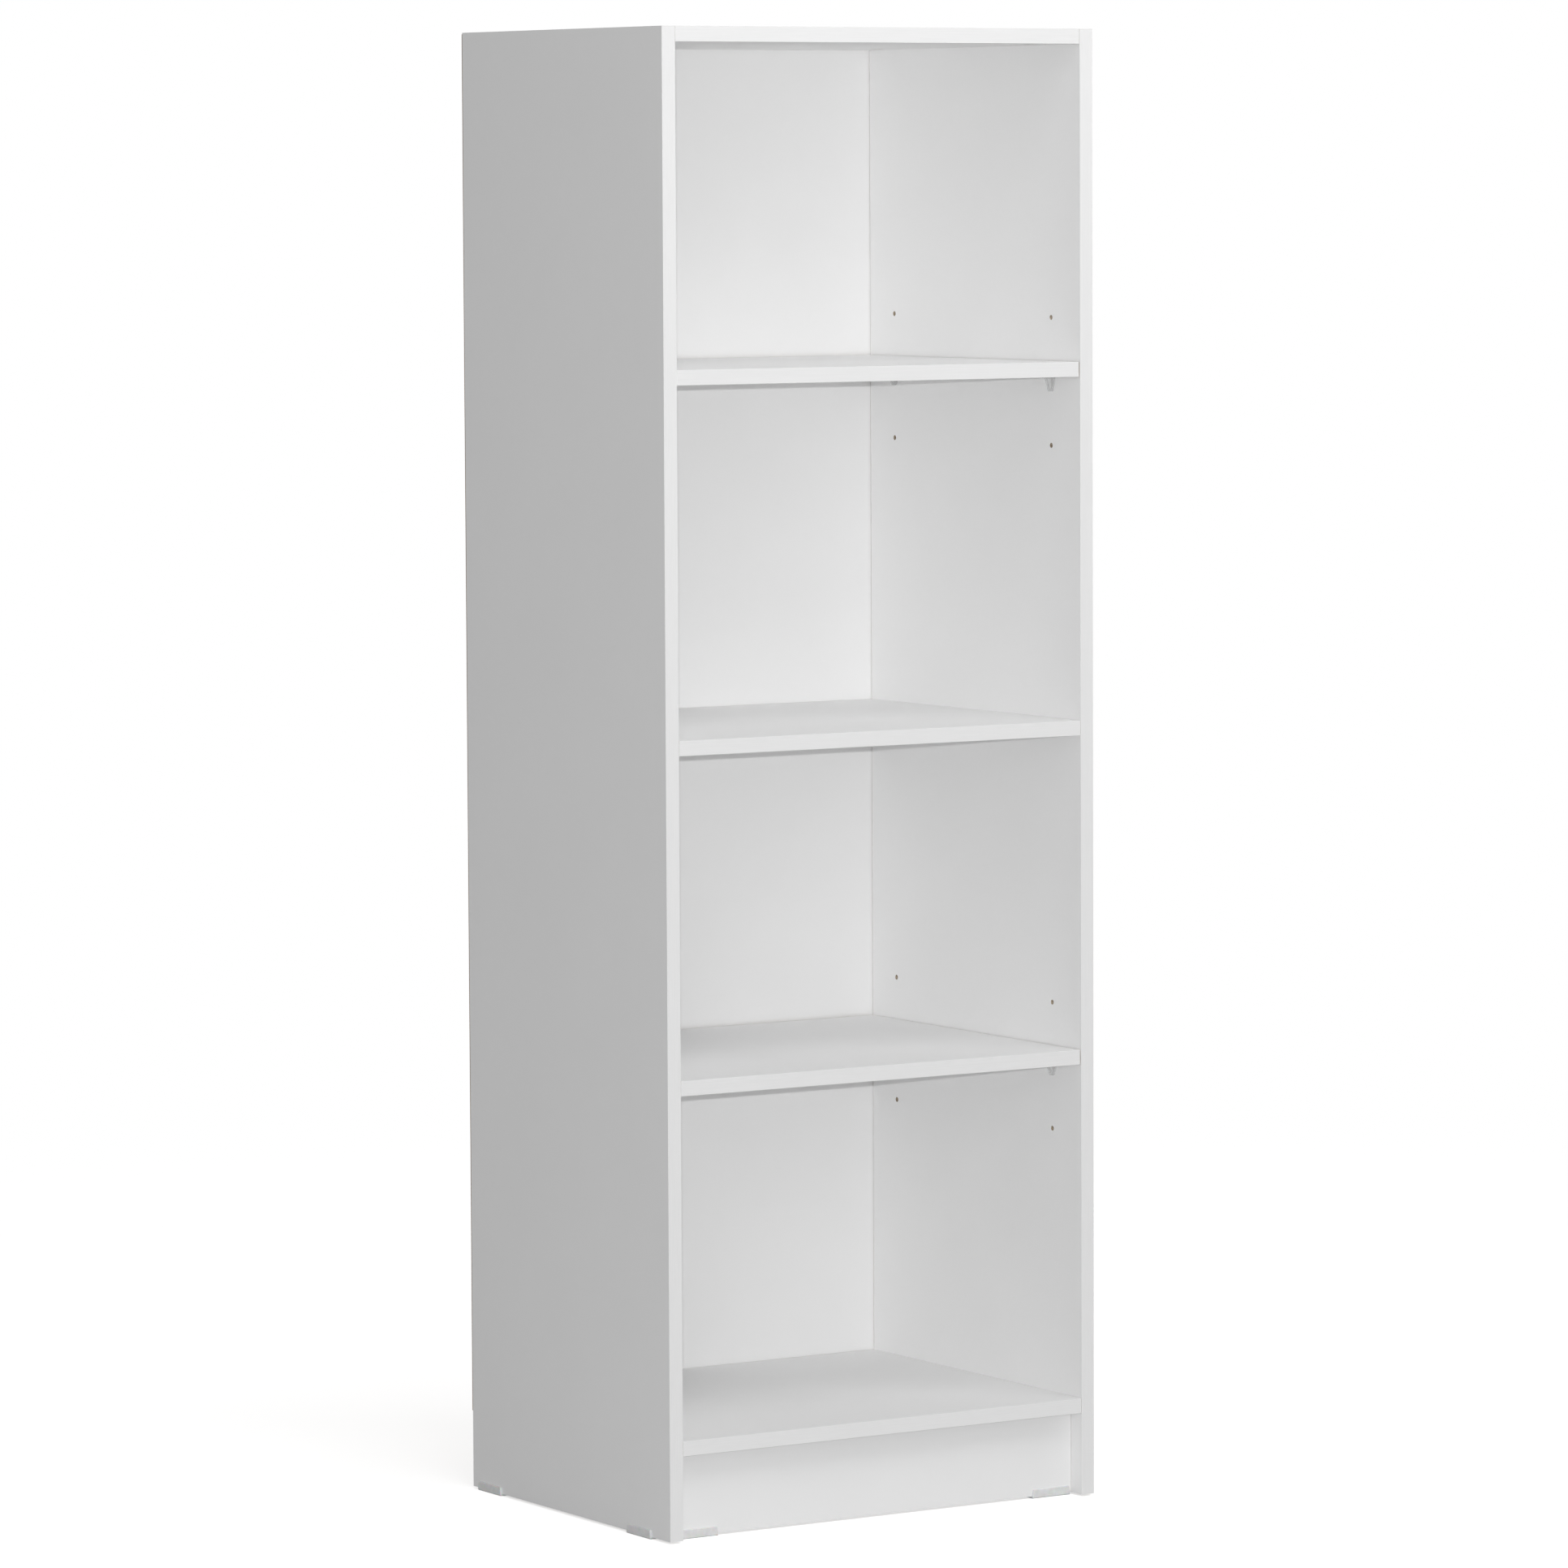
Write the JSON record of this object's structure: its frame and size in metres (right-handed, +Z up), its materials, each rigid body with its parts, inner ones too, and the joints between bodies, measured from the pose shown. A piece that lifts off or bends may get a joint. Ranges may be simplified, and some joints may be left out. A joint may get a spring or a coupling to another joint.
{
  "type": "bookcase",
  "caption": "Narrow upright open bookcase of white board: a fixed top, middle shelf, bottom and plinth, loose shelves on plug-in supports, thin nailed back, low glides.",
  "frame": {"origin": "centre of the bookcase's outline on the floor, under the glides", "axes": "+Z up, +X to the right seen from the front, -Y out of the open front"},
  "size_m": [0.5044, 0.3886, 1.472],
  "materials": {
    "white_melamine_board": "satin white melamine on particleboard",
    "white_edge_band": "satin white edge strip",
    "white_hardboard": "painted white front, brown fibre rear",
    "nail_steel": "bright nail steel",
    "zinc_die_cast": "die-cast zinc",
    "bright_steel": "zinc plated steel",
    "beech_dowel": "plain beech",
    "natural_plastic": "unpigmented polyethylene",
    "clear_plastic": "clear moulded plastic"
  },
  "bodies": {
    "case": {"left_side_panel": "white_melamine_board", "right_side_panel": "white_melamine_board", "top_panel": "white_melamine_board", "middle_shelf": "white_melamine_board", "bottom_panel": "white_melamine_board", "plinth_panel": "white_melamine_board", "left_side_front_edge_band": "white_edge_band", "right_side_front_edge_band": "white_edge_band", "left_side_top_edge_band": "white_edge_band", "right_side_top_edge_band": "white_edge_band", "top_panel_edge_band": "white_edge_band", "middle_shelf_edge_band": "white_edge_band", "bottom_panel_edge_band": "white_edge_band", "back_panel": "white_hardboard", "back_panel_nails": "nail_steel", "cam_locks": "zinc_die_cast", "cam_bolts": "bright_steel", "wooden_dowels": "beech_dowel", "front_left_glide": "natural_plastic", "rear_left_glide": "natural_plastic", "front_right_glide": "natural_plastic", "rear_right_glide": "natural_plastic", "plinth_left_glide": "natural_plastic", "plinth_right_glide": "natural_plastic"},
    "upper_shelf": {"upper_shelf": "white_melamine_board", "upper_shelf_edge_band": "white_edge_band"},
    "lower_shelf": {"lower_shelf": "white_melamine_board", "lower_shelf_edge_band": "white_edge_band"},
    "upper_front_left_shelf_support": {"upper_front_left_shelf_support": "clear_plastic"},
    "upper_rear_left_shelf_support": {"upper_rear_left_shelf_support": "clear_plastic"},
    "upper_front_right_shelf_support": {"upper_front_right_shelf_support": "clear_plastic"},
    "upper_rear_right_shelf_support": {"upper_rear_right_shelf_support": "clear_plastic"},
    "lower_front_left_shelf_support": {"lower_front_left_shelf_support": "clear_plastic"},
    "lower_rear_left_shelf_support": {"lower_rear_left_shelf_support": "clear_plastic"},
    "lower_front_right_shelf_support": {"lower_front_right_shelf_support": "clear_plastic"},
    "lower_rear_right_shelf_support": {"lower_rear_right_shelf_support": "clear_plastic"}
  },
  "joints": [
    {"name": "upper_shelf_pull_out", "type": "slide", "parent": "case", "child": "upper_shelf", "axis": [0, -1, 0], "range_m": [0, 0.4]},
    {"name": "lower_shelf_pull_out", "type": "slide", "parent": "case", "child": "lower_shelf", "axis": [0, -1, 0], "range_m": [0, 0.4]},
    {"name": "upper_front_left_support_pull_out", "type": "slide", "parent": "case", "child": "upper_front_left_shelf_support", "axis": [1, 0, 0], "range_m": [0, 0.012]},
    {"name": "upper_rear_left_support_pull_out", "type": "slide", "parent": "case", "child": "upper_rear_left_shelf_support", "axis": [1, 0, 0], "range_m": [0, 0.012]},
    {"name": "upper_front_right_support_pull_out", "type": "slide", "parent": "case", "child": "upper_front_right_shelf_support", "axis": [-1, 0, 0], "range_m": [0, 0.012]},
    {"name": "upper_rear_right_support_pull_out", "type": "slide", "parent": "case", "child": "upper_rear_right_shelf_support", "axis": [-1, 0, 0], "range_m": [0, 0.012]},
    {"name": "lower_front_left_support_pull_out", "type": "slide", "parent": "case", "child": "lower_front_left_shelf_support", "axis": [1, 0, 0], "range_m": [0, 0.012]},
    {"name": "lower_rear_left_support_pull_out", "type": "slide", "parent": "case", "child": "lower_rear_left_shelf_support", "axis": [1, 0, 0], "range_m": [0, 0.012]},
    {"name": "lower_front_right_support_pull_out", "type": "slide", "parent": "case", "child": "lower_front_right_shelf_support", "axis": [-1, 0, 0], "range_m": [0, 0.012]},
    {"name": "lower_rear_right_support_pull_out", "type": "slide", "parent": "case", "child": "lower_rear_right_shelf_support", "axis": [-1, 0, 0], "range_m": [0, 0.012]}
  ]
}
